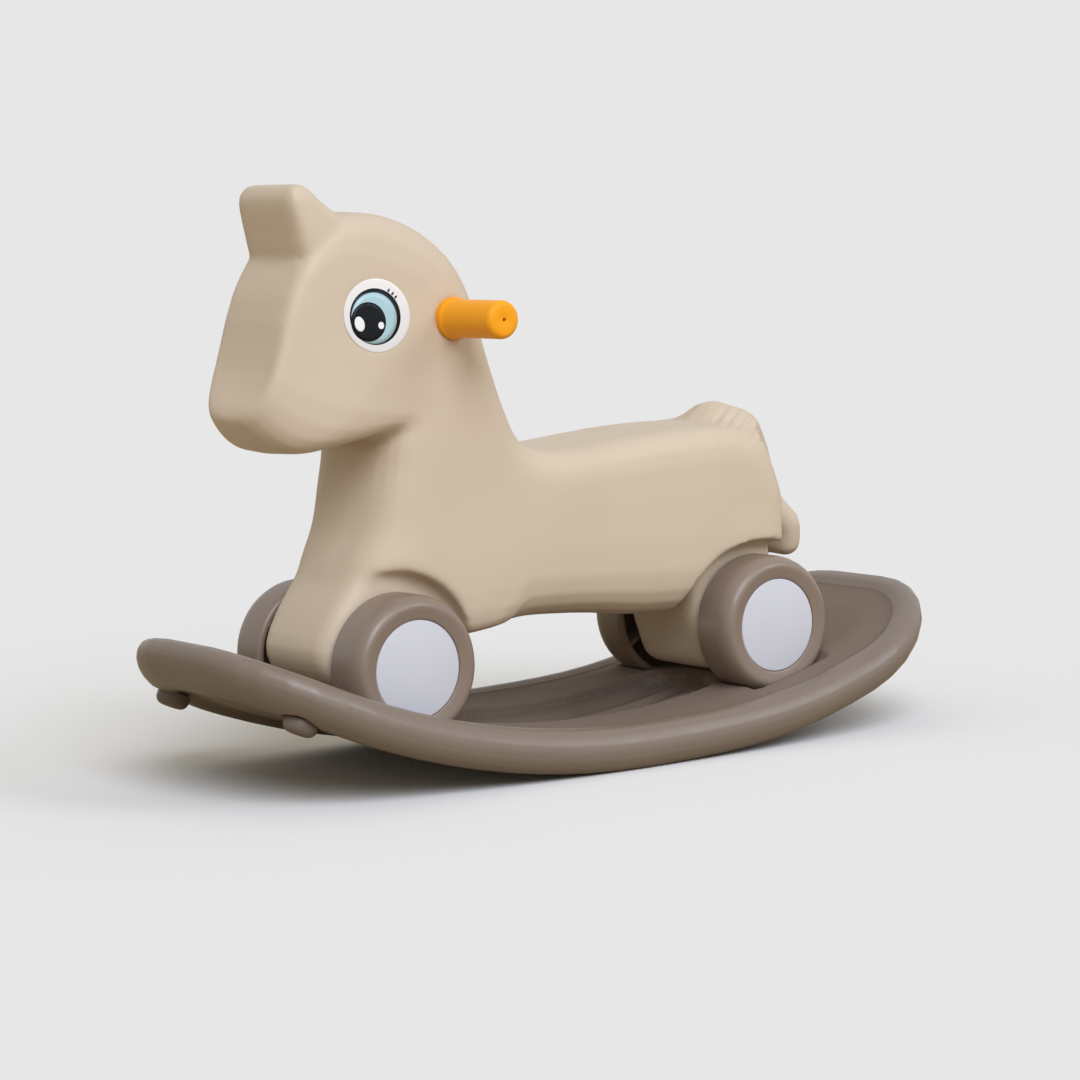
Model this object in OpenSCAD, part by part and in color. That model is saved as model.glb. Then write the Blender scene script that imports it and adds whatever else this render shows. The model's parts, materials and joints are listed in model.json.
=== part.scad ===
// Ride on horse on four wheels, parked in the wheel wells of a loose rocker board.
// Millimetres. +X is the way the horse faces, +Y is its left side, +Z is up.
// The rocker board rests on z = 0 and its middle is over the origin.

/* [Rocker board] */
// Length over both ends
rocker_length = 734; // [716:1:770]
// Width over both rails
rocker_width = 290; // [286:1:320]
// Radius of the rocking arc under the rails
rocking_radius = 760; // [730:10:840]
// Height of a rail from underside to top
rail_height = 38; // [36:0.5:42]

/* [Wheels] */
// Outside diameter of a wheel
wheel_diameter = 120; // [114:1:124]
// Width of a wheel
wheel_width = 41.5; // [38:0.5:43]
// Distance between the two axles
wheelbase = 380; // [370:1:386]
// Diameter of the steel axles
axle_diameter = 10; // [8:0.5:12]

/* [Horse] */
// Width over the flanks
body_width = 136; // [128:1:142]
// Width of a leg between its wheels
leg_width = 103; // [98:1:106]
// Height of the ears above the axles
horse_height = 390; // [376:1:404]
// Diameter of an eye disc
eye_diameter = 59; // [48:1:62]

/* [Handle] */
// Length of a grip
grip_length = 74; // [66:1:80]
// Diameter of a grip
grip_diameter = 31; // [27:0.5:33]
// Diameter of the bar through the head
bar_diameter = 18; // [14:0.5:20]

/* [Hidden] */
$fn = 48;

// Gaps: a piece that runs, a piece that is seated, a bore on its shaft
run_gap = 0.4;
seat_gap = 0.3;
bore_gap = 0.06;

// Rocker board heights, measured above the arc under the rails
flat_depth = 0.8;
rim_rise = 4;
deck_height = rail_height - rim_rise;
panel_height = 8;
corner_radius = 113;
rim_roll = 17;
rim_step = 24;
rail_depth = 39;

// Trough along the middle of the deck and feet under the corners
trough_length = 330;
trough_width = leg_width - 3;
trough_floor = 13;
rib_height = 5;
foot_radius = 14;
foot_plug_radius = 7;
foot_drop = 8;
foot_seat = 4;
foot_round = 7;
foot_inset = [51, 47];

// Where the wheels stand
wheel_radius = wheel_diameter / 2;
well_floor = rail_height + 0.7;
well_radius = wheel_radius + 4;
axle_z = well_floor + seat_gap + wheel_radius;
horse_x = 10;
axle_x = wheelbase / 2;
bush_stand = 0.2;
bush_flange = 2;
wheel_inner_y = leg_width / 2 + bush_stand + bush_flange + run_gap;
arch_radius = wheel_radius + 16;
axle_radius = axle_diameter / 2;

// Inside of a wheel, along its axle from the face next to the leg
hub_length = 29;
nut_thickness = 4;
cap_thickness = 3.4;
cap_radius = 40.5 / 60 * wheel_radius;
face_dish = 2.2;
cap_seat = wheel_width - face_dish - cap_thickness - 0.3;

// Holes in the moulded body
bush_radius = axle_radius + 4;
bush_length = 20;
collar_flare = 1.6;
collar_radius = grip_diameter / 2 + collar_flare;
collar_seat = body_width / 2 - 7;

// Handle and eyes, from the middle between the axles
stretch = wheelbase / 380;
withers = 100;
rise = (horse_height - withers) / 290;
handle_at = [127 * stretch, raised(279)];
eye_at = [198.5 * stretch, raised(284)];
face_bow = 3.5;
belly_softness = 0.65;
jaw_softness = 0.75;
eye_half = 0.878 * body_width / 2;
eye_lean = [6.8, 4.8];
eye_thickness = 1.6;
eye_dome = 0.6;
eye_sink = 0.8;

// Sections of the moulded body. Each is a rounded oblong between two points of the side view,
// x from mid wheelbase and z from the axles, and then has its half width and its squareness.
// The half width is a share of the body's, or of a leg's for the two legs.
TRUNK = [
    [-228, 92, -228, 44, 0.59, 4], [-226, 111, -227, 26, 0.81, 5], [-222, 131, -223, 16, 0.93, 6],
    [-216, 153, -214, 12, 0.98, 6], [-207, 169, -205, 12, 1, 6], [-190, 174, -190, 12, 1, 6],
    [-150, 175, -150, 12, 1, 6], [-110, 174, -110, 12, 1, 6], [-70, 171, -70, 14, 1, 6],
    [-30, 167, -30, 19, 1, 6], [8, 164, 10, 22, 1, 6], [32, 166, 40, 23, 1, 6],
    [49, 173, 60, 21, 0.995, 6], [63, 186, 80, 18, 0.98, 6], [80, 196, 98, 13, 0.95, 6],
    [120, 190, 140, 10, 0.86, 6]
];
NECK_AND_HEAD = [
    [78, 20, 212, 8, 0.70, 5], [64, 24, 220, 14, 0.88, 5.5], [40, 40, 226, 32, 0.97, 5.5],
    [0, 80, 224, 64, 0.995, 5.5], [6, 108, 205, 106, 0.995, 5.5], [28, 132, 196, 136, 0.995, 6],
    [50, 166, 190, 160, 0.995, 6], [70, 206, 187, 175, 0.99, 6], [81, 234, 183, 184, 0.985, 6],
    [88, 257, 190, 187, 0.98, 6], [94, 281, 212, 182, 0.975, 6], [103, 307, 236, 177, 0.96, 6],
    [118, 331, 256, 174, 0.94, 6], [144, 352, 272, 175, 0.89, 6], [178, 365, 285, 181, 0.83, 6],
    [212, 366, 294, 189, 0.78, 6], [240, 349, 301, 197, 0.75, 5], [251, 337, 305, 202, 0.71, 4.5],
    [256, 330, 305, 208, 0.65, 4.5], [258, 325, 303, 214, 0.54, 4.5]
];
EAR = [
    [190, 330, 250, 318, 0.68, 6], [200, 346, 257, 333, 0.69, 6], [210, 359, 261, 350, 0.68, 6],
    [222, 368, 264, 363, 0.66, 6], [234, 376, 266, 375, 0.64, 6], [241, 383, 265, 382, 0.61, 6],
    [246, 388, 261, 388, 0.55, 5.5], [250, 390, 256, 390, 0.45, 5]
];
FRONT_LEG = [
    [150, -40, 208, -28, 0.74, 5], [138, -38, 222, -24, 0.90, 6], [128, -30, 236, -16, 0.97, 7],
    [120, -12, 248, -3, 1, 7], [114, 6, 252, 14, 1, 7], [108, 22, 244, 34, 1, 7],
    [106, 40, 232, 53, 1, 7], [110, 60, 220, 70, 1, 7], [114, 88, 206, 90, 1, 7],
    [118, 112, 192, 114, 0.98, 7], [120, 136, 178, 138, 0.94, 7]
];
REAR_LEG = [
    [-208, -32, -172, -42, 0.74, 5], [-220, -28, -158, -41, 0.90, 6], [-228, -20, -148, -33, 0.97, 7],
    [-230, -6, -141, -14, 1, 7], [-230, 14, -134, 6, 1, 7], [-228, 40, -128, 34, 1, 7],
    [-222, 80, -120, 70, 0.97, 7], [-212, 110, -125, 100, 0.87, 7]
];

// Middle line of the tail: x, z, radius of a lock, and how far its side locks lie apart
TAIL_POINTS = [
    [-173, 171, 9, 36], [-189, 180, 11, 35], [-201, 180, 12, 27], [-215, 168, 13, 22], [-228, 148, 12.5, 19],
    [-232, 118, 12, 17], [-243, 97, 13.5, 17], [-261, 79, 14.5, 16], [-265, 63, 13.5, 14]
];
// Each lock's share of that spread
LOCKS = [-1, -2 / 3, -1 / 3, 0, 1 / 3, 2 / 3, 1];
// The side locks lie on a round: its radius seen from above and seen from behind
tail_round = [27, 75];

function spline(a, b, c, d, t) =
    0.5 * (2 * b + (c - a) * t + (2 * a - 5 * b + 4 * c - d) * t * t + (3 * b - a - 3 * c + d) * t * t * t);

// Points along a smooth curve through the given ones
function open_curve(p, steps) =
    let (last = len(p) - 1)
    concat(
        [for (i = [0:last - 1], j = [0:steps - 1])
            spline(p[max(i - 1, 0)], p[i], p[i + 1], p[min(i + 2, last)], j / steps)],
        [p[last]]
    );

// Angles round a section, with two close to each middle of a side so that the sides stay smooth
RING_ANGLES = [each [90:-15:15], 1.5, -1.5, each [-15:-15:-165], -178.5, -181.5, each [-195:-15:-255]];

// The horse's height only stretches it above the withers
function raised(z) = z + max(0, z - withers) * (rise - 1);

function signed_pow(v, e) = sign(v) * pow(abs(v), e);

// Points round one section of the moulded body, from its upper or rear point round the left side;
// its lower or front half has a share of the squareness, and the bow bends it into an S seen from the side
function section_ring(s, half_width, under, bow) =
    let (a = [s[0], s[1]], b = [s[2], s[3]], along = (a - b) / norm(a - b))
    [for (t = RING_ANGLES)
        let (
            e = 2 / s[5] / (sin(t) < 0 ? under : 1),
            k = signed_pow(sin(t), e),
            q = (a + b) / 2 + (a - b) / 2 * k + [along[1], -along[0]] * bow * sin(180 * k)
        )
        [q[0] * stretch, s[4] * half_width * signed_pow(cos(t), e), raised(q[1])]];

// Height of the rocking arc above the floor line at a distance from the middle
function arc_rise(x) = rocking_radius - sqrt(pow(rocking_radius, 2) - x * x) - flat_depth;

// Section of the rim: inset from the outline and height above the arc, underside to deck
function rim_section() = concat(
    [for (t = [0:45:180]) [rail_depth - 6 + 6 * cos(t), panel_height / 2 * (1 + cos(t))]],
    [for (t = [-90:22.5:90]) [rim_roll * (1 - cos(t)), rail_height / 2 * (1 + sin(t))]],
    [for (t = [0:36:180]) [rim_step - 3.5 * cos(t), deck_height + rim_rise * (1 + cos(t)) / 2]]
);

// Quarter of the board's outline pulled in by an inset, from the rail's middle to the end
function outline_quarter(inset) =
    let (
        r = corner_radius - inset,
        cx = rocker_length / 2 - corner_radius,
        cy = rocker_width / 2 - corner_radius
    )
    concat(
        [for (i = [0:8]) [cx * i / 9, cy + r]],
        [for (t = [90:-11.25:0]) [cx + r * cos(t), cy + r * sin(t)]]
    );

function reversed(p) = [for (i = [len(p) - 1:-1:0]) p[i]];

// Closed outline: left rail from rear end to front end, then the right rail back
function board_outline(inset) =
    let (
        q = outline_quarter(inset),
        left = concat([for (p = reversed(q)) if (p[0] > 0) [-p[0], p[1]]], q)
    )
    concat(left, [for (p = reversed(left)) [p[0], -p[1]]]);

function lifted(outline, height) = [for (p = outline) [p[0], p[1], max(0, height + arc_rise(p[0]))]];

// One ring of points round the board for every point of the rim section,
// and strips straight across close the underside and the deck
module board_solid() {
    rim = rim_section();
    rings = [for (s = rim) lifted(board_outline(s[0]), s[1])];
    n = len(rings[0]);
    last = (len(rings) - 1) * n;
    walls = [
        for (k = [0:len(rings) - 2], i = [0:n - 1])
            let (a = k * n + i, b = k * n + (i + 1) % n)
            each [[a, b, b + n], [a, b + n, a + n]]
    ];
    underside = [
        for (i = [0:n / 2 - 2])
            let (a = i, b = i + 1, c = n - 2 - i, d = n - 1 - i)
            each [[a, d, c], [a, c, b]]
    ];
    deck = [
        for (i = [0:n / 2 - 2])
            let (a = last + i, b = last + i + 1, c = last + n - 2 - i, d = last + n - 1 - i)
            each [[a, c, d], [a, b, c]]
    ];
    polyhedron([for (r = rings) each r], concat(walls, underside, deck), convexity = 6);
}

module rounded_plate(length, width, corner, height) {
    linear_extrude(height)
        union() {
            square([length - 2 * corner, width], center = true);
            square([length, width - 2 * corner], center = true);
            for (sx = [-1, 1], sy = [-1, 1])
                translate([sx * (length / 2 - corner), sy * (width / 2 - corner)])
                    circle(corner);
        }
}

// Drum that shares the rocking arc's middle line; cutting with it leaves a floor along the arc
module arc_drum(height, width) {
    translate([0, 0, rocking_radius - flat_depth])
        rotate([90, 0, 0])
            cylinder(r = rocking_radius - height, h = width, center = true, $fn = 360);
}

// Long trough between the wheels, its floor left standing in three ribs
module trough() {
    slots = 4;
    slot = trough_width / slots;
    intersection() {
        rounded_plate(trough_length, trough_width, 40, 200);
        union() {
            arc_drum(trough_floor + rib_height, trough_width + 20);
            for (i = [0:slots - 1])
                translate([0, (i + 0.5) * slot - trough_width / 2, 0])
                    arc_drum(trough_floor, slot - 5);
        }
    }
}

module wheel_well(x, side) {
    translate([horse_x + x, side * (wheel_inner_y + wheel_width / 2), well_floor + well_radius])
        rotate([90, 0, 0])
            cylinder(r = well_radius, h = wheel_width + 6, center = true, $fn = 96);
}

// Puts a piece under one end of the board, its z along the arc's radius
module at_end(sx) {
    angle = asin((rocker_length / 2 - foot_inset[0]) / rocking_radius);
    translate([0, 0, rocking_radius - flat_depth])
        rotate([0, -sx * angle, 0])
            translate([0, 0, -rocking_radius])
                children();
}

module at_stop_foot(sx, sy) {
    at_end(sx)
        translate([0, sy * (rocker_width / 2 - foot_inset[1]), 0])
            children();
}

// Two hand pockets under each end, between the feet
module end_pockets(sx) {
    width = 54;
    for (sy = [-1, 1])
        at_end(sx)
            translate([0, sy * (width / 2 + 7), -20])
                rounded_plate(32, width, 12, 20 + panel_height + 9);
}

module rocker_board() {
    color([0.58, 0.52, 0.48])
        difference() {
            union() {
                board_solid();
                for (sx = [-1, 1], sy = [-1, 1])
                    at_stop_foot(sx, sy)
                        translate([0, 0, foot_seat])
                            cylinder(r = foot_radius + 2, h = panel_height);
            }
            trough();
            for (sx = [-1, 1])
                end_pockets(sx);
            for (x = [-axle_x, axle_x], side = [-1, 1])
                wheel_well(x, side);
            for (sx = [-1, 1], sy = [-1, 1])
                at_stop_foot(sx, sy) {
                    translate([0, 0, -20])
                        cylinder(r = foot_radius + seat_gap, h = 20 + foot_seat);
                    cylinder(r = foot_plug_radius + 0.05, h = panel_height + 12);
                }
        }
}

// Four feet under the corners that stop the rocking; each sits on a boss and has a plug pressed into it
module stop_feet() {
    rounding = [foot_radius - foot_round, foot_round - foot_drop];
    color([0.56, 0.50, 0.46])
        for (sx = [-1, 1], sy = [-1, 1])
            at_stop_foot(sx, sy)
                rotate_extrude()
                    polygon(concat(
                        [[0, -foot_drop]],
                        [for (t = [-90:15:0]) rounding + foot_round * [cos(t), sin(t)]],
                        [[foot_radius, foot_seat], [foot_plug_radius, foot_seat]],
                        [[foot_plug_radius, panel_height + 11], [0, panel_height + 11]]
                    ));
}

// Triangles straight across a ring of points that mirror each other left and right
function strips(first, n, turned) = [
    for (i = [0:n / 2 - 1])
        let (a = first + i, b = first + i + 1, c = first + n - 1 - i, d = first + (n - i) % n)
        each turned
            ? concat(i > 0 ? [[a, d, c]] : [], i < n / 2 - 1 ? [[a, c, b]] : [])
            : concat(i > 0 ? [[a, c, d]] : [], i < n / 2 - 1 ? [[a, b, c]] : [])
];

// Skin drawn smoothly over a row of sections; the bow grows towards the last one
module loft(sections, half_width, under = 1, bow = 0) {
    rows = open_curve(sections, 2);
    end = len(rows) - 1;
    rings = [for (k = [0:end]) section_ring(rows[k], half_width, under, bow * pow(k / end, 6))];
    n = len(rings[0]);
    walls = [
        for (k = [0:end - 1], i = [0:n - 1])
            let (a = k * n + i, b = k * n + (i + 1) % n)
            each [[a, b, b + n], [a, b + n, a + n]]
    ];
    caps = concat(strips(0, n, true), strips(end * n, n, false));
    polyhedron([for (r = rings) each r], concat(walls, caps), convexity = 6);
}

// Locks of hair side by side, each a chain of rounded links; the outer ones lie lower and start further back
module tail() {
    for (lock = LOCKS, i = [0:len(TAIL_POINTS) - 2])
        hull()
            for (p = [TAIL_POINTS[i], TAIL_POINTS[i + 1]])
                let (aside = lock * p[3], half_square = aside * aside / 2)
                translate([
                    p[0] * stretch - half_square / tail_round[0],
                    aside,
                    raised(p[1]) - half_square / tail_round[1]
                ])
                    sphere(p[2], $fn = 10);
}

// Lays a piece on the flank of the head, its z pointing out of the cheek
module on_cheek(side) {
    translate([eye_at[0], side * eye_half, eye_at[1]])
        rotate([-side * (90 - eye_lean[1]), 0, -side * eye_lean[0]])
            children();
}

module along_y(width) {
    rotate([90, 0, 0])
        linear_extrude(width, center = true)
            children();
}

module in_horse_frame() {
    translate([horse_x, 0, axle_z])
        children();
}

// Trunk, neck and head are wider than the legs and end over the wheels in round arches
module wide_body() {
    difference() {
        union() {
            loft(TRUNK, body_width / 2, belly_softness);
            loft(NECK_AND_HEAD, body_width / 2, jaw_softness, face_bow);
        }
        for (arch = [[axle_x, 1, 1], [-axle_x - 5, 1.12, 0.95]])
            translate([arch[0], 0, 0])
                along_y(body_width + 20)
                    scale([arch[1], arch[2]])
                        circle(arch_radius, $fn = 72);
    }
}

module horse_body() {
    color([0.80, 0.73, 0.64])
        in_horse_frame()
            difference() {
                union() {
                    wide_body();
                    loft(EAR, body_width / 2);
                    loft(FRONT_LEG, leg_width / 2);
                    loft(REAR_LEG, leg_width / 2);
                    tail();
                }
                for (x = [-axle_x, axle_x])
                    translate([x, 0, 0])
                        along_y(body_width + 20)
                            circle((bush_radius + seat_gap) / cos(180 / 40), $fn = 40);
                translate([handle_at[0], 0, handle_at[1]])
                    along_y(body_width + 20)
                        circle((bar_diameter / 2 + seat_gap) / cos(180 / 40), $fn = 40);
                for (side = [-1, 1]) {
                    translate([handle_at[0], side * (collar_seat + 20), handle_at[1]])
                        along_y(40)
                            circle(collar_radius + seat_gap, $fn = 64);
                    on_cheek(side)
                        translate([0, 0, -eye_sink])
                            cylinder(d = eye_diameter + 2 * seat_gap, h = 12, $fn = 64);
                }
            }
}

// Puts a piece on an axle, its z running outwards from the middle of the horse
module on_axle(x, side) {
    in_horse_frame()
        translate([x, 0, 0])
            rotate([-side * 90, 0, 0])
                children();
}

// Flanged plastic sleeves that carry the axles in the walls of the legs
module axle_bushes() {
    color([0.85, 0.85, 0.82])
        for (x = [-axle_x, axle_x], side = [-1, 1])
            on_axle(x, side)
                translate([0, 0, leg_width / 2 + bush_stand])
                    difference() {
                        union() {
                            translate([0, 0, -bush_length])
                                cylinder(r = bush_radius, h = bush_length + 1);
                            cylinder(r = bush_radius + 4, h = bush_flange);
                        }
                        translate([0, 0, -bush_length - 1])
                            cylinder(r = axle_radius + bore_gap, h = bush_length + bush_flange + 2);
                    }
}

module axle(x) {
    length = 2 * (wheel_inner_y + hub_length + run_gap + nut_thickness + 1);
    color([0.72, 0.73, 0.75])
        on_axle(x, 1)
            cylinder(r = axle_radius, h = length, center = true);
}

module front_axle() {
    axle(axle_x);
}

module rear_axle() {
    axle(-axle_x);
}

// Dished caps pushed on the axle ends to keep the wheels on
module push_nuts() {
    color([0.66, 0.67, 0.69])
        for (x = [-axle_x, axle_x], side = [-1, 1])
            on_axle(x, side)
                translate([0, 0, wheel_inner_y + hub_length + run_gap])
                    rotate_extrude()
                        polygon([
                            [axle_radius + 0.02, 0], [axle_radius + 4.5, 0], [axle_radius + 4.5, 1],
                            [axle_radius + 2, nut_thickness], [axle_radius + 0.02, nut_thickness]
                        ]);
}

// Moulded wheel: tread, face ring and hub in one, hollow and ribbed behind
module wheel(x, side) {
    hub = axle_radius + 8;
    shoulder = [9, 17];
    tread_wall = 6;
    face = hub_length - 4;
    color([0.60, 0.54, 0.49])
        on_axle(x, side)
            translate([0, 0, wheel_inner_y])
                difference() {
                    rotate_extrude($fn = 96)
                        polygon(concat(
                            [[0, 0], [wheel_radius - 4, 0]],
                            [for (t = [-67.5:22.5:0]) [wheel_radius - 4 + 4 * cos(t), 4 + 4 * sin(t)]],
                            [for (t = [0:15:90]) [
                                wheel_radius - shoulder[0] * (1 - cos(t)),
                                wheel_width - shoulder[1] * (1 - sin(t))
                            ]],
                            [[wheel_radius - shoulder[0] - 2.5, wheel_width - 0.5],
                             [cap_radius + 0.3, wheel_width - face_dish],
                             [cap_radius + 0.3, cap_seat], [cap_radius - 4, cap_seat],
                             [cap_radius - 4, hub_length], [0, hub_length]]
                        ));
                    translate([0, 0, -1])
                        cylinder(r = axle_radius + bore_gap, h = wheel_width + 2);
                    for (i = [0:5])
                        rotate([0, 0, 60 * i])
                            wheel_pocket(hub, wheel_radius - tread_wall, face);
                }
}

// One of six hollows between the ribs on the inner side of a wheel
module wheel_pocket(inner, outer, depth) {
    rib = 3;
    translate([0, 0, -1])
        linear_extrude(depth + 1)
            intersection() {
                difference() {
                    circle(outer);
                    circle(inner);
                }
                translate([rib / sin(60), 0])
                    polygon([[0, 0], [2 * outer, 2 * outer * tan(30)], [2 * outer, -2 * outer * tan(30)]]);
            }
}

module wheel_front_left() {
    wheel(axle_x, 1);
}

module wheel_front_right() {
    wheel(axle_x, -1);
}

module wheel_rear_left() {
    wheel(-axle_x, 1);
}

module wheel_rear_right() {
    wheel(-axle_x, -1);
}

// Plain disc that snaps into the wheel by a ring behind it
module hub_cap(x, side) {
    ring = cap_radius - 4.1;
    color([0.86, 0.87, 0.90])
        on_axle(x, side)
            translate([0, 0, wheel_inner_y + cap_seat])
                rotate_extrude($fn = 96)
                    polygon([
                        [0, 0], [ring - 2.5, 0], [ring - 2.5, -5], [ring, -5], [ring, 0], [cap_radius, 0],
                        [cap_radius, cap_thickness - 0.8], [cap_radius - 0.8, cap_thickness],
                        [0, cap_thickness]
                    ]);
}

module hub_cap_front_left() {
    hub_cap(axle_x, 1);
}

module hub_cap_front_right() {
    hub_cap(axle_x, -1);
}

module hub_cap_rear_left() {
    hub_cap(-axle_x, 1);
}

module hub_cap_rear_right() {
    hub_cap(-axle_x, -1);
}

// Puts a piece on the handle's line, its z running outwards from the middle of the head
module on_handle(side) {
    in_horse_frame()
        translate([handle_at[0], 0, handle_at[1]])
            rotate([-side * 90, 0, 0])
                children();
}

module handle_bar() {
    length = 2 * (collar_seat + grip_length - 6);
    color([0.75, 0.75, 0.75])
        on_handle(1)
            difference() {
                cylinder(d = bar_diameter, h = length, center = true);
                cylinder(d = bar_diameter - 5, h = length + 2, center = true);
            }
}

// Soft sleeve with a flared collar, a rounded end and a small vent hole
module grip(side) {
    r = grip_diameter / 2;
    end_round = 5;
    bore = bar_diameter / 2 + 0.05;
    inner = grip_length - 5;
    color([0.88, 0.55, 0.10])
        on_handle(side)
            translate([0, 0, collar_seat + 0.1])
                rotate_extrude()
                    polygon(concat(
                        [[bore, 0], [collar_radius, 0]],
                        [for (t = [0:30:90]) [collar_radius - collar_flare * sin(t), 16 - 8 * cos(t)]],
                        [for (t = [0:15:90]) [
                            r - end_round * (1 - cos(t)),
                            grip_length - end_round * (1 - sin(t))
                        ]],
                        [[1.6, grip_length], [1.6, inner], [bore, inner]]
                    ));
}

module grip_left() {
    grip(1);
}

module grip_right() {
    grip(-1);
}

// Disc with a slightly domed face
module eye(side) {
    steps = 8;
    color([0.95, 0.95, 0.96])
        in_horse_frame()
            on_cheek(side)
                translate([0, 0, 0.05 - eye_sink])
                    rotate_extrude()
                        polygon(concat(
                            [[0, 0], [eye_diameter / 2, 0]],
                            [for (i = [steps:-1:0])
                                [eye_diameter / 2 * i / steps, eye_thickness - eye_dome * pow(i / steps, 2)]]
                        ));
}

module eye_left() {
    eye(1);
}

module eye_right() {
    eye(-1);
}

rocker_board();
stop_feet();
horse_body();
axle_bushes();
front_axle();
rear_axle();
push_nuts();
wheel_front_left();
wheel_front_right();
wheel_rear_left();
wheel_rear_right();
hub_cap_front_left();
hub_cap_front_right();
hub_cap_rear_left();
hub_cap_rear_right();
handle_bar();
grip_left();
grip_right();
eye_left();
eye_right();
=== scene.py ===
"""Looks of a moulded ride on horse: softened mouldings, painted eyes, materials, floor, light and camera."""

import json
import math

import bmesh
import bpy
from mathutils import Matrix, Vector

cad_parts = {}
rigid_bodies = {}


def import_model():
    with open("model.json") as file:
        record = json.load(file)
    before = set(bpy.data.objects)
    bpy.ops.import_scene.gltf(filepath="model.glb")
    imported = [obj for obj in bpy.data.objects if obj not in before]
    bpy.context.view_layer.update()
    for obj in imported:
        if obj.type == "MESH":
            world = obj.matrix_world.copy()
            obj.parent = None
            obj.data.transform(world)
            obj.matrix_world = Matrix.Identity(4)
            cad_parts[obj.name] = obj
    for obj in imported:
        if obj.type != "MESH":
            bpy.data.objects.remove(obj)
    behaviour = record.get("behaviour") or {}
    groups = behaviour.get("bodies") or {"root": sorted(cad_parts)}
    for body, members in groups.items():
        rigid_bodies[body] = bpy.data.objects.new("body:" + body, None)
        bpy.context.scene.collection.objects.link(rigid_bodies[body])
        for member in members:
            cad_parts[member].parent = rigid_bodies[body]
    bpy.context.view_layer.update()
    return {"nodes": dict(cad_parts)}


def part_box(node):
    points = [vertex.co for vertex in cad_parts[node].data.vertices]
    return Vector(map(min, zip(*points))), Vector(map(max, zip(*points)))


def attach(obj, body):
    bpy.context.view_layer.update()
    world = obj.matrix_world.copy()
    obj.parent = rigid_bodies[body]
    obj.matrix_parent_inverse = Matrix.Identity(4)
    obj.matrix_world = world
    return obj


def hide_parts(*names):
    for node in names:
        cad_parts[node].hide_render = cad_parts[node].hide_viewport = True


# Camera, found from the wheels, eyes and grip: degrees, metres, and millimetres of lens and sensor
CAMERA_AZIMUTH = 36.54
CAMERA_ELEVATION = 6.07
CAMERA_ROLL = -1.22
CAMERA_DISTANCE = 2.8388
CAMERA_TARGET = Vector((0.0066, 0.0, 0.1816))
CAMERA_LENS = 110.36
CAMERA_SENSOR = 36.0

# Light: an even sky, and soft lamps from the horse's left, the second one a little from behind.
# Each lamp has a name, a strength, and its azimuth, elevation and width in degrees.
SKY_STRENGTH = 0.42
SKY_COLOUR = (1.05, 0.985, 0.82, 1.0)
LAMPS = [("key", 2.02, 22, 42, 40), ("side", 0.6, -37, 30, 26)]
LAMP_COLOUR = (0.94, 1.0, 1.12)
# Colour that the floor has for the light it throws back up on the toy, and half of its width in metres
FLOOR_BOUNCE = (0.5, 0.42, 0.3, 1.0)
FLOOR_REACH = 60.0

# An eye in metres: its disc, its face over the middle of the disc's edge, and how the cheek turns it
EYE_RADIUS = 0.0295
EYE_FACE = 0.0011
EYE_DOME = 0.0006
EYE_LEAN_FORWARD = math.radians(6.8)
EYE_LEAN_UP = math.radians(4.8)
# Print on an eye, in metres: how thick a film is, how far each lies over the last, and how far colours blend
FILM_THICKNESS = 0.0003
FILM_STEP = 0.00012
COLOUR_BLEND = 0.02
# Iris and lashes in millimetres forwards and up from the eye's middle, and degrees from the forward direction
IRIS_MIDDLE = (1.8, -0.9)
LASH_START = 23.3
LASH_LENGTH = 2.8
LASH_ANGLES = (123, 133, 142)
# Half width of a lash at shares of its length
LASH_TAPER = [(0.0, 0.6), (0.5, 0.8), (1.0, 0.25)]

# Edges of the smaller pieces, in metres: how far a crisp edge is rounded, and which corners count as one
EDGE_ROUND = 0.0004
WELD_DISTANCE = 0.00002
CRISP_ANGLE = math.radians(30)

# Where the horse's moulding is drawn over most softly: place and reach in metres, and rounds of smoothing
SOFT_SPOTS = [
    (Vector((0.062, 0.055, 0.255)), 0.075, 60),
    (Vector((0.215, 0.04, 0.19)), 0.06, 40),
    (Vector((-0.19, 0.03, 0.262)), 0.06, 20),
    (Vector((-0.21, 0.045, 0.264)), 0.055, 200),
    (Vector((0.295, 0.02, 0.365)), 0.1, 8),
]

# Strands of hair in both sides of the tail's root, in metres: their middle and reach,
# the direction across them, their step and depth, and the share of the reach over which they fade
STRANDS_AT = Vector((-0.183, 0.041, 0.27))
STRANDS_REACH = 0.034
STRANDS_ACROSS = Vector((0.8, -0.6, 1.0))
STRAND_STEP = 0.0115
STRAND_DEPTH = 0.0009
STRAND_FADE = 0.6

# The board seen from above, in metres: the radius of its corners and the width of its smooth rim
BOARD_CORNER = 0.113
RIM_WIDTH = 0.026
# How the board's edge leaves an even arc: rails drawn down behind, front end up, front corners out
RAIL_DROP = 0.007
FRONT_RISE = 0.003
CORNER_SWELL = 0.0035
# Starts and ends of that: in from the outline, behind the middle, near the rear end, ahead of the middle
EDGE_FADES = (0.02, 0.06)
DROP_GROWS = (0.02, 0.2)
DROP_FADES = (0.24, 0.367)
RISE_GROWS = (0.26, 0.34)
# Share of the drop that is gone at the rear end
DROP_LOST = 0.6


def linear(red, green, blue):
    """Linear colour of a screen colour given as 0 to 255."""

    def channel(value):
        share = value / 255
        return share / 12.92 if share <= 0.04045 else ((share + 0.055) / 1.055) ** 2.4

    return (channel(red), channel(green), channel(blue), 1.0)


BACKGROUND = linear(231, 231, 231)


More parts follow.
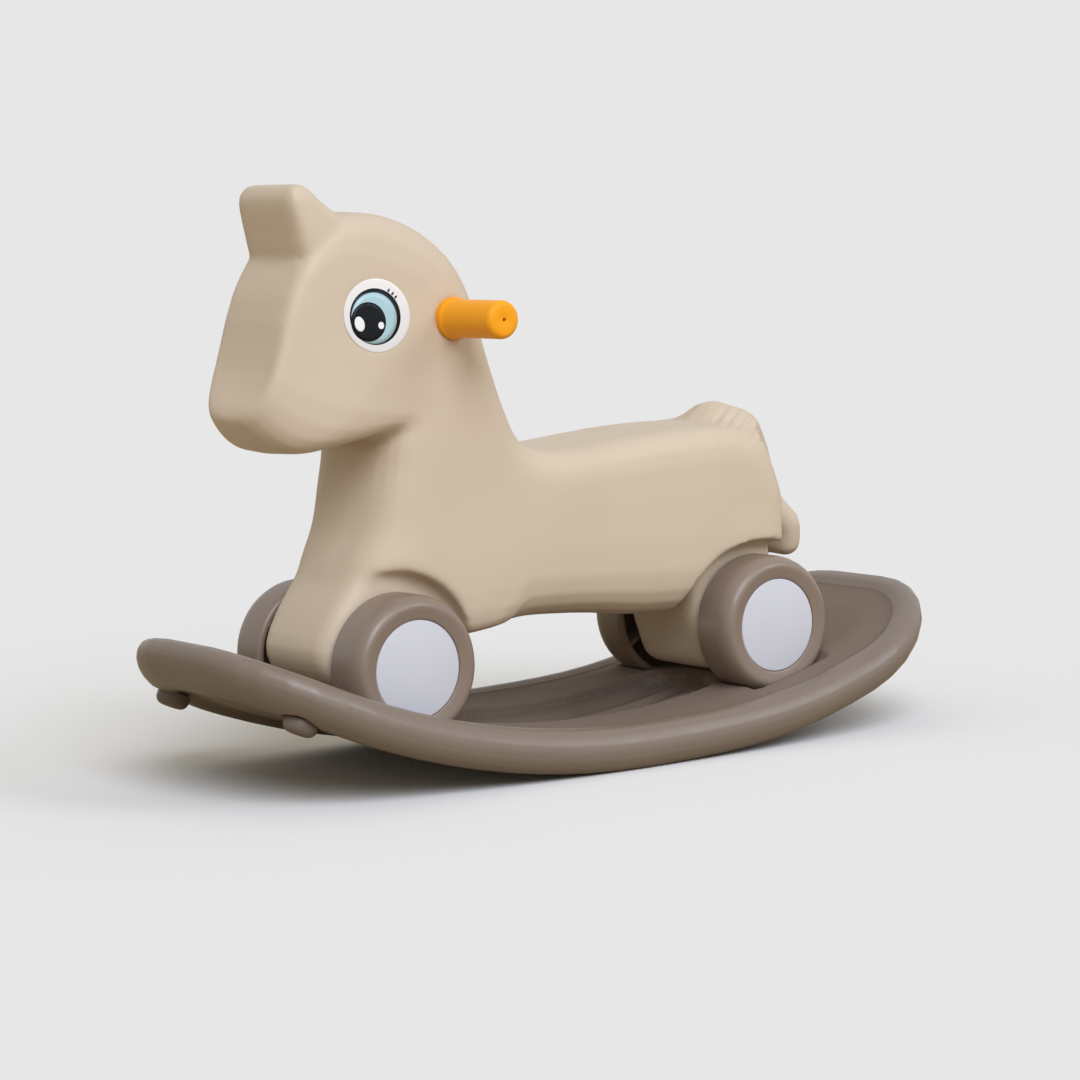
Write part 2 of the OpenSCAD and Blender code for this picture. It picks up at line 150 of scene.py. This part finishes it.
class Shader:
    """One material's node tree with short calls for the nodes that the materials below share."""

    def __init__(self, name):
        self.material = bpy.data.materials.new(name)
        self.material.use_nodes = True
        self.nodes = self.material.node_tree.nodes
        self.links = self.material.node_tree.links
        self.principled = self.nodes["Principled BSDF"]
        self.place = self.nodes.new("ShaderNodeTexCoord").outputs["Object"]

    def feed(self, socket, value):
        """Links an output to a socket, or sets the socket to a plain value."""
        if isinstance(value, bpy.types.NodeSocket):
            self.links.new(value, socket)
        else:
            socket.default_value = value

    def noise(self, scale, detail=2.0, stretch=(1, 1, 1)):
        """Soft noise from 0 to 1 over the piece."""
        node = self.nodes.new("ShaderNodeTexNoise")
        node.inputs["Scale"].default_value = scale
        node.inputs["Detail"].default_value = detail
        mapping = self.nodes.new("ShaderNodeMapping")
        mapping.inputs["Scale"].default_value = stretch
        self.links.new(self.place, mapping.inputs["Vector"])
        self.links.new(mapping.outputs["Vector"], node.inputs["Vector"])
        return node.outputs["Fac"]

    def spread(self, value, low, high, from_low=0.3, from_high=0.7):
        """Maps a value from one range to another, held at both ends."""
        node = self.nodes.new("ShaderNodeMapRange")
        limits = {"From Min": from_low, "From Max": from_high, "To Min": low, "To Max": high}
        for key, number in limits.items():
            node.inputs[key].default_value = number
        self.links.new(value, node.inputs["Value"])
        return node.outputs["Result"]

    def mix(self, share, first, second):
        """The first colour with a share of the second."""
        node = self.nodes.new("ShaderNodeMix")
        node.data_type = "RGBA"
        self.feed(node.inputs["Factor"], share)
        self.feed(node.inputs["A"], first)
        self.feed(node.inputs["B"], second)
        return node.outputs["Result"]

    def convex(self):
        """1 on outward edges and 0 elsewhere."""
        pointiness = self.nodes.new("ShaderNodeNewGeometry").outputs["Pointiness"]
        return self.spread(pointiness, 0.0, 1.0, 0.52, 0.62)

    def bump(self, height, strength, distance, below=None):
        """A fine relief, laid over another one where that is given."""
        node = self.nodes.new("ShaderNodeBump")
        node.inputs["Strength"].default_value = strength
        node.inputs["Distance"].default_value = distance
        self.links.new(height, node.inputs["Height"])
        if below is not None:
            self.links.new(below, node.inputs["Normal"])
        return node.outputs["Normal"]

    def set(self, **values):
        """Sets the shader's inputs by name, an underscore standing for a space."""
        for key, value in values.items():
            self.feed(self.principled.inputs[key.replace("_", " ")], value)


def shade(colour, factor):
    """The colour made lighter or darker."""
    return tuple(min(1.0, channel * factor) for channel in colour[:3]) + (1.0,)


def moulded_plastic(name, colour, roughness, gloss=0.4):
    """Satin moulding: faint clouds in the colour, a faint painted highlight on outward edges, orange peel and
    a fine grain.
    """
    shader = Shader(name)
    clouds = shader.spread(shader.noise(9.0, 3.0), 0.0, 1.0)
    specks = shader.spread(shader.noise(1400.0, 1.0), 0.0, 1.0)
    tone = shader.mix(clouds, shade(colour, 0.965), shade(colour, 1.03))
    speckled = shader.mix(shader.spread(specks, 0.0, 0.25, 0.0, 1.0), tone, shade(colour, 0.94))
    # Painted highlight: outward edges are drawn a little paler, as where rounded edges catch the light
    edge_highlight = shader.spread(shader.convex(), 0.0, 0.08, 0.0, 1.0)
    peel = shader.bump(shader.noise(240.0, 1.0), 0.10, 0.0006)
    shader.set(
        Base_Color=shader.mix(edge_highlight, speckled, shade(colour, 1.3)),
        Roughness=shader.spread(shader.noise(45.0, 3.0), roughness - 0.05, roughness + 0.05),
        Specular_IOR_Level=gloss,
        Normal=shader.bump(shader.noise(1700.0, 2.0), 0.10, 0.0002, peel),
    )
    return shader.material


def drawn_steel(name, colour, roughness):
    """Zinc plated steel with fine draw lines along its length."""
    shader = Shader(name)
    lines = shader.noise(900.0, 2.0, stretch=(1.0, 0.03, 1.0))
    spangle = shader.spread(shader.noise(160.0, 1.0), 0.0, 1.0)
    shader.set(
        Base_Color=shader.mix(spangle, shade(colour, 0.9), colour),
        Metallic=1.0,
        Roughness=shader.spread(lines, roughness - 0.07, roughness + 0.07),
        Normal=shader.bump(lines, 0.15, 0.0001),
    )
    return shader.material


def eye_paint(name, colour, second, gloss=0.5):
    """Glossy printed ink that shades from one colour to a second along the height of the eye."""
    shader = Shader(name)
    split = shader.nodes.new("ShaderNodeSeparateXYZ")
    shader.links.new(shader.place, split.inputs["Vector"])
    rise = shader.spread(split.outputs["Z"], 0.0, 1.0, EYE_HEIGHT - COLOUR_BLEND, EYE_HEIGHT + COLOUR_BLEND)
    dots = shader.spread(shader.noise(2600.0, 1.0), 0.0, 0.06)
    shader.set(
        Base_Color=shader.mix(dots, shader.mix(rise, colour, second), shade(colour, 0.85)),
        Roughness=shader.spread(shader.noise(60.0), 0.26, 0.34),
        Specular_IOR_Level=gloss,
        Normal=shader.bump(shader.noise(500.0, 1.0), 0.05, 0.0002),
    )
    return shader.material


def paint(obj, *materials):
    """Gives an object these materials in place of its own."""
    obj.data.materials.clear()
    for material in materials:
        obj.data.materials.append(material)


def new_object(name, data):
    """A new object in the scene."""
    obj = bpy.data.objects.new(name, data)
    bpy.context.scene.collection.objects.link(obj)
    return obj


def apply_modifiers(obj):
    """Puts the result of an object's modifiers into its mesh."""
    graph = bpy.context.evaluated_depsgraph_get()
    mesh = bpy.data.meshes.new_from_object(obj.evaluated_get(graph))
    mesh.name = obj.name
    obj.modifiers.clear()
    obj.data = mesh


def left_twin(point):
    """The point itself, or its mirror image where it lies on the right side."""
    return Vector((point.x, abs(point.y), point.z))


def nearness(point, middle, reach):
    """1 in the middle of a spot on both sides of the toy, 0 at the end of its reach and less past it."""
    return 1 - (left_twin(point) - middle).length / reach


def ramp(value, start, end):
    """Rises smoothly from 0 at the start to 1 at the end."""
    share = min(1.0, max(0.0, (value - start) / (end - start)))
    return share * share * (3 - 2 * share)


def round_over(obj, rounds, spot=None):
    """Smooths an object's skin all over, or only near a spot given as its middle and reach."""
    smooth = obj.modifiers.new("round over", "SMOOTH")
    smooth.factor = 0.5
    smooth.iterations = rounds
    if spot is None:
        return
    group = obj.vertex_groups.new(name="spot")
    for vertex in obj.data.vertices:
        near = nearness(vertex.co, *spot)
        if near > 0:
            group.add([vertex.index], min(1.0, 2 * near), "REPLACE")
    smooth.vertex_group = group.name


def softened(node, name, voxel, rounds, spots=()):
    """A copy of a moulded CAD node with its seams and edges rounded over, as blow moulding leaves them."""
    skin = new_object(name, nodes[node].data.copy())
    remesh = skin.modifiers.new("even skin", "REMESH")
    remesh.mode = "VOXEL"
    remesh.voxel_size = voxel
    round_over(skin, rounds)
    apply_modifiers(skin)
    for middle, reach, extra in spots:
        round_over(skin, extra, (middle, reach))
        apply_modifiers(skin)
        skin.vertex_groups.clear()
    skin.data.shade_smooth()
    return skin


def comb_tail(skin):
    """Presses soft strands of hair into both sides of the tail's root."""
    shifts = []
    for vertex in skin.data.vertices:
        near = nearness(vertex.co, STRANDS_AT, STRANDS_REACH)
        if near > 0:
            turns = left_twin(vertex.co).dot(STRANDS_ACROSS) / STRAND_STEP
            height = STRAND_DEPTH * math.sin(2 * math.pi * turns) * ramp(near, 0.0, STRAND_FADE)
            shifts.append((vertex.index, vertex.normal * height))
    for index, shift in shifts:
        skin.data.vertices[index].co += shift


def corner_reach(point):
    """How far a point of the board lies past the middle of its nearest corner's round, along x and y."""
    return Vector((abs(point.x) - BOARD_EDGE.x + BOARD_CORNER, abs(point.y) - BOARD_EDGE.y + BOARD_CORNER))


def inset_from_edge(point):
    """How far a point lies in from the board's outline, seen from above."""
    reach = corner_reach(point)
    return BOARD_CORNER - Vector((max(0.0, reach.x), max(0.0, reach.y))).length


def draw_board_edge(skin):
    """Draws the rails down towards the rear, the front end up and the front corners out."""
    for vertex in skin.data.vertices:
        place = vertex.co
        at_edge = 1 - ramp(inset_from_edge(place), *EDGE_FADES)
        behind = ramp(-place.x, *DROP_GROWS) * (1 - DROP_LOST * ramp(-place.x, *DROP_FADES))
        rise = FRONT_RISE * ramp(place.x, *RISE_GROWS) - RAIL_DROP * behind * at_edge
        reach = corner_reach(place)
        if place.x > 0 and min(reach) > 0:
            swell = CORNER_SWELL * at_edge * 2 * reach.x * reach.y / reach.length_squared
            out = reach.normalized() * swell
            vertex.co += Vector((out.x, math.copysign(out.y, place.y), 0))
        vertex.co.z += rise


def smooth_but_crisp(obj):
    """Smooth shading on a CAD node, with its real edges slightly rounded."""
    weld = obj.modifiers.new("weld", "WELD")
    weld.merge_threshold = WELD_DISTANCE
    bevel = obj.modifiers.new("edge", "BEVEL")
    bevel.width = EDGE_ROUND
    bevel.segments = 2
    bevel.limit_method = "ANGLE"
    bevel.angle_limit = CRISP_ANGLE
    bevel.harden_normals = False
    obj.data.shade_smooth()


def eye_frame(side):
    """The matrix that puts y up and z out of one cheek, at the middle of its eye; x runs level."""
    low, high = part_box("eye_left" if side > 0 else "eye_right")
    level, rise = math.cos(EYE_LEAN_UP), math.sin(EYE_LEAN_UP)
    forward, sideways = math.sin(EYE_LEAN_FORWARD), math.cos(EYE_LEAN_FORWARD)
    out = Vector((forward * level, side * sideways * level, rise))
    across = Vector((0, 0, 1)).cross(out).normalized()
    turned = Matrix([across, out.cross(across), out]).transposed().to_4x4()
    return Matrix.Translation((low + high) / 2) @ turned


def eye_height_at(x, y):
    """Height of the eye's domed face over the middle of its disc's edge."""
    return EYE_FACE - EYE_DOME * (x * x + y * y) / (EYE_RADIUS * EYE_RADIUS)


def eye_film(name, side, outline, lift, material):
    """A thin printed shape on the eye's face, from its outline in metres forwards and up."""
    rings = 5
    edge = [Vector((-side * u, v)) for u, v in outline]
    if side > 0:
        edge.reverse()
    middle = sum(edge, Vector((0.0, 0.0))) / len(edge)
    mesh = bpy.data.meshes.new(name)
    shape = bmesh.new()
    hub = shape.verts.new((*middle, eye_height_at(*middle) + lift))
    inner = None
    for ring in range(1, rings + 1):
        points = [middle.lerp(p, ring / rings) for p in edge]
        row = [shape.verts.new((p.x, p.y, eye_height_at(p.x, p.y) + lift)) for p in points]
        for i, vertex in enumerate(row):
            j = (i + 1) % len(row)
            shape.faces.new((hub, vertex, row[j]) if inner is None else (inner[i], vertex, row[j], inner[j]))
        inner = row
    shape.normal_update()
    shape.to_mesh(mesh)
    shape.free()
    mesh.materials.append(material)
    mesh.shade_smooth()
    obj = new_object(name, mesh)
    film = obj.modifiers.new("film", "SOLIDIFY")
    film.thickness = FILM_THICKNESS
    film.offset = -1.0
    obj.matrix_world = eye_frame(side)
    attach(obj, "horse")


def ellipse(x, y, width, height, turn=0.0):
    """Points in metres round an ellipse given in millimetres and degrees."""
    count = 64
    cos, sin = math.cos(math.radians(turn)), math.sin(math.radians(turn))
    points = []
    for i in range(count):
        angle = 2 * math.pi * i / count
        u, v = width / 2 * math.cos(angle), height / 2 * math.sin(angle)
        points.append(((x + u * cos - v * sin) / 1000, (y + u * sin + v * cos) / 1000))
    return points


def lash(angle):
    """Outline in metres of a short tapered stroke outside the iris, at an angle from straight ahead."""
    along = Vector((math.cos(math.radians(angle)), math.sin(math.radians(angle))))
    across = Vector((-along.y, along.x))
    start = Vector(IRIS_MIDDLE) + along * LASH_START
    tip = Vector(IRIS_MIDDLE) + along * (LASH_START + LASH_LENGTH)
    left = [start.lerp(tip, share) + across * width for share, width in LASH_TAPER]
    right = [start.lerp(tip, share) - across * width for share, width in reversed(LASH_TAPER)]
    return [tuple(point / 1000) for point in right + left]


def paint_eye(side):
    """The printed eye: dark outline, iris, pupil, two highlights and three lashes."""
    label = "left" if side > 0 else "right"
    layers = [
        ("outline", ellipse(*IRIS_MIDDLE, 45.4, 45.4), INK),
        ("iris", ellipse(3.0, -2.2, 40.6, 41.2), IRIS),
        ("pupil", ellipse(8.3, -4.9, 31.0, 31.6), INK),
        ("glint_large", ellipse(16.4, -6.4, 8.6, 12.2, -14), GLINT),
        ("glint_small", ellipse(-2.6, -8.3, 5.2, 5.8), GLINT),
    ]
    for level, (part, outline, material) in enumerate(layers):
        eye_film(f"eye_{label}_{part}", side, outline, FILM_STEP * (level + 1), material)
    for number, angle in enumerate(LASH_ANGLES):
        eye_film(f"eye_{label}_lash_{number + 1}", side, lash(angle), FILM_STEP, INK)


def direction(azimuth, elevation):
    """Unit vector; azimuth 0 is towards the horse's left and 90 towards its front, in degrees."""
    a, e = math.radians(azimuth), math.radians(elevation)
    return Vector((math.sin(a) * math.cos(e), math.cos(a) * math.cos(e), math.sin(e)))


def make_lamp(name, strength, azimuth, elevation, width):
    """A broad sun lamp."""
    lamp = bpy.data.lights.new(name, "SUN")
    lamp.energy = strength
    lamp.color = LAMP_COLOUR
    lamp.angle = math.radians(width)
    obj = new_object(name, lamp)
    obj.rotation_mode = "QUATERNION"
    obj.rotation_quaternion = direction(azimuth, elevation).to_track_quat("Z", "Y")


def make_sky():
    """Even light all round; the camera and reflections see the pale background instead."""
    world = bpy.data.worlds.new("studio")
    bpy.context.scene.world = world
    world.use_nodes = True
    tree = world.node_tree
    light = tree.nodes["Background"]
    light.inputs["Color"].default_value = SKY_COLOUR
    light.inputs["Strength"].default_value = SKY_STRENGTH
    seen = tree.nodes.new("ShaderNodeBackground")
    seen.inputs["Color"].default_value = BACKGROUND
    path = tree.nodes.new("ShaderNodeLightPath")
    surface = light.outputs[0]
    for ray in ("Is Camera Ray", "Is Glossy Ray", "Is Transmission Ray"):
        mix = tree.nodes.new("ShaderNodeMixShader")
        tree.links.new(path.outputs[ray], mix.inputs["Fac"])
        tree.links.new(surface, mix.inputs[1])
        tree.links.new(seen.outputs[0], mix.inputs[2])
        surface = mix.outputs[0]
    tree.links.new(surface, tree.nodes["World Output"].inputs["Surface"])


def floor_material():
    """A matt floor whose lit colour meets the background, and which throws a warmer light back up."""
    lamps = sum(strength * direction(azimuth, elevation).z for _, strength, azimuth, elevation, _ in LAMPS)
    levels = [SKY_STRENGTH * SKY_COLOUR[i] + lamps / math.pi * LAMP_COLOUR[i] for i in range(3)]
    material = bpy.data.materials.new("floor")
    material.use_nodes = True
    tree = material.node_tree
    tree.nodes.remove(tree.nodes["Principled BSDF"])
    matt = tree.nodes.new("ShaderNodeBsdfDiffuse")
    path = tree.nodes.new("ShaderNodeLightPath")
    mix = tree.nodes.new("ShaderNodeMix")
    mix.data_type = "RGBA"
    mix.inputs["A"].default_value = FLOOR_BOUNCE
    mix.inputs["B"].default_value = (*(BACKGROUND[i] / levels[i] for i in range(3)), 1.0)
    tree.links.new(path.outputs["Is Camera Ray"], mix.inputs["Factor"])
    tree.links.new(mix.outputs["Result"], matt.inputs["Color"])
    tree.links.new(matt.outputs[0], tree.nodes["Material Output"].inputs["Surface"])
    return material


def make_floor():
    """A wide flat floor under the toy."""
    mesh = bpy.data.meshes.new("floor")
    corners = [(x * FLOOR_REACH, y * FLOOR_REACH, 0) for x, y in ((-1, -1), (1, -1), (1, 1), (-1, 1))]
    mesh.from_pydata(corners, [], [(0, 1, 2, 3)])
    mesh.materials.append(floor_material())
    new_object("floor", mesh)


def make_camera():
    """The camera, turned to look at its target and rolled a little."""
    roll = math.radians(CAMERA_ROLL)
    back = direction(CAMERA_AZIMUTH, CAMERA_ELEVATION)
    level = (-back).cross(Vector((0, 0, 1))).normalized()
    upright = level.cross(-back)
    right = level * math.cos(roll) + upright * math.sin(roll)
    up = upright * math.cos(roll) - level * math.sin(roll)
    lens = bpy.data.cameras.new("camera")
    lens.lens = CAMERA_LENS
    lens.sensor_width = CAMERA_SENSOR
    camera = new_object("camera", lens)
    turned = Matrix([right, up, back]).transposed().to_4x4()
    camera.matrix_world = Matrix.Translation(CAMERA_TARGET + back * CAMERA_DISTANCE) @ turned
    bpy.context.scene.camera = camera


for leftover in list(bpy.data.objects):
    bpy.data.objects.remove(leftover)
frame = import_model()
nodes = frame["nodes"]
bpy.context.scene.view_settings.view_transform = "Standard"

# Places read from the frame
BOARD_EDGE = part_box("rocker_board")[1]
EYE_HEIGHT = sum(corner.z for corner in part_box("eye_left")) / 2

# Materials
BOARD_COLOUR = linear(125, 110, 99)
GLINT_COLOUR = linear(240, 242, 244)
BODY = moulded_plastic("body_plastic", linear(208, 191, 170), 0.5, gloss=0.3)
BOARD = moulded_plastic("board_plastic", BOARD_COLOUR, 0.38, gloss=0.55)
DECK = moulded_plastic("deck_plastic", BOARD_COLOUR, 0.7, gloss=0.08)
# The stop feet are the board's plastic made darker: painted shade, so they look as dim as the rim around them
SHADED_FOOT = moulded_plastic("foot_plastic", linear(114, 100, 90), 0.45)
WHEEL = moulded_plastic("wheel_plastic", linear(135, 118, 106), 0.36, gloss=0.55)
CAP = moulded_plastic("cap_plastic", linear(208, 209, 219), 0.35)
GRIP = moulded_plastic("grip_plastic", linear(254, 168, 26), 0.45, gloss=0.25)
BUSH = moulded_plastic("bush_plastic", linear(222, 220, 210), 0.5)
EYE_WHITE = eye_paint("eye_white", linear(226, 226, 228), linear(236, 234, 234))
IRIS = eye_paint("eye_iris", linear(170, 204, 214), linear(128, 178, 206))
INK = eye_paint("eye_ink", linear(22, 26, 30), linear(38, 40, 50), gloss=0.15)
GLINT = eye_paint("eye_glint", GLINT_COLOUR, GLINT_COLOUR)
AXLE = drawn_steel("axle_steel", linear(186, 188, 192), 0.35)
NUT = drawn_steel("nut_steel", linear(170, 172, 176), 0.3)
BAR = drawn_steel("bar_steel", linear(192, 192, 192), 0.35)

# The moulded horse
horse = softened("horse_body", "horse_skin", voxel=0.0025, rounds=6, spots=SOFT_SPOTS)
comb_tail(horse)
paint(horse, BODY)
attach(horse, "horse")
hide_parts("horse_body")

# The moulded board, smooth on its rim and grained on the deck inside it
board = softened("rocker_board", "board_skin", voxel=0.002, rounds=2)
draw_board_edge(board)
paint(board, BOARD, DECK)
for face in board.data.polygons:
    if face.normal.z > 0 and inset_from_edge(face.center) > RIM_WIDTH:
        face.material_index = 1
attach(board, "rocker")
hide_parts("rocker_board")

# The pieces that show as they are in the CAD model
FINISHES = {
    "stop_feet": SHADED_FOOT,
    "axle_bushes": BUSH,
    "front_axle": AXLE,
    "rear_axle": AXLE,
    "push_nuts": NUT,
    "handle_bar": BAR,
    "grip_left": GRIP,
    "grip_right": GRIP,
    "eye_left": EYE_WHITE,
    "eye_right": EYE_WHITE,
}
for corner in ("front_left", "front_right", "rear_left", "rear_right"):
    FINISHES["wheel_" + corner] = WHEEL
    FINISHES["hub_cap_" + corner] = CAP
for node, finish in FINISHES.items():
    paint(nodes[node], finish)
    smooth_but_crisp(nodes[node])

for side in (1, -1):
    paint_eye(side)

make_sky()
for lamp in LAMPS:
    make_lamp(*lamp)
make_floor()
make_camera()
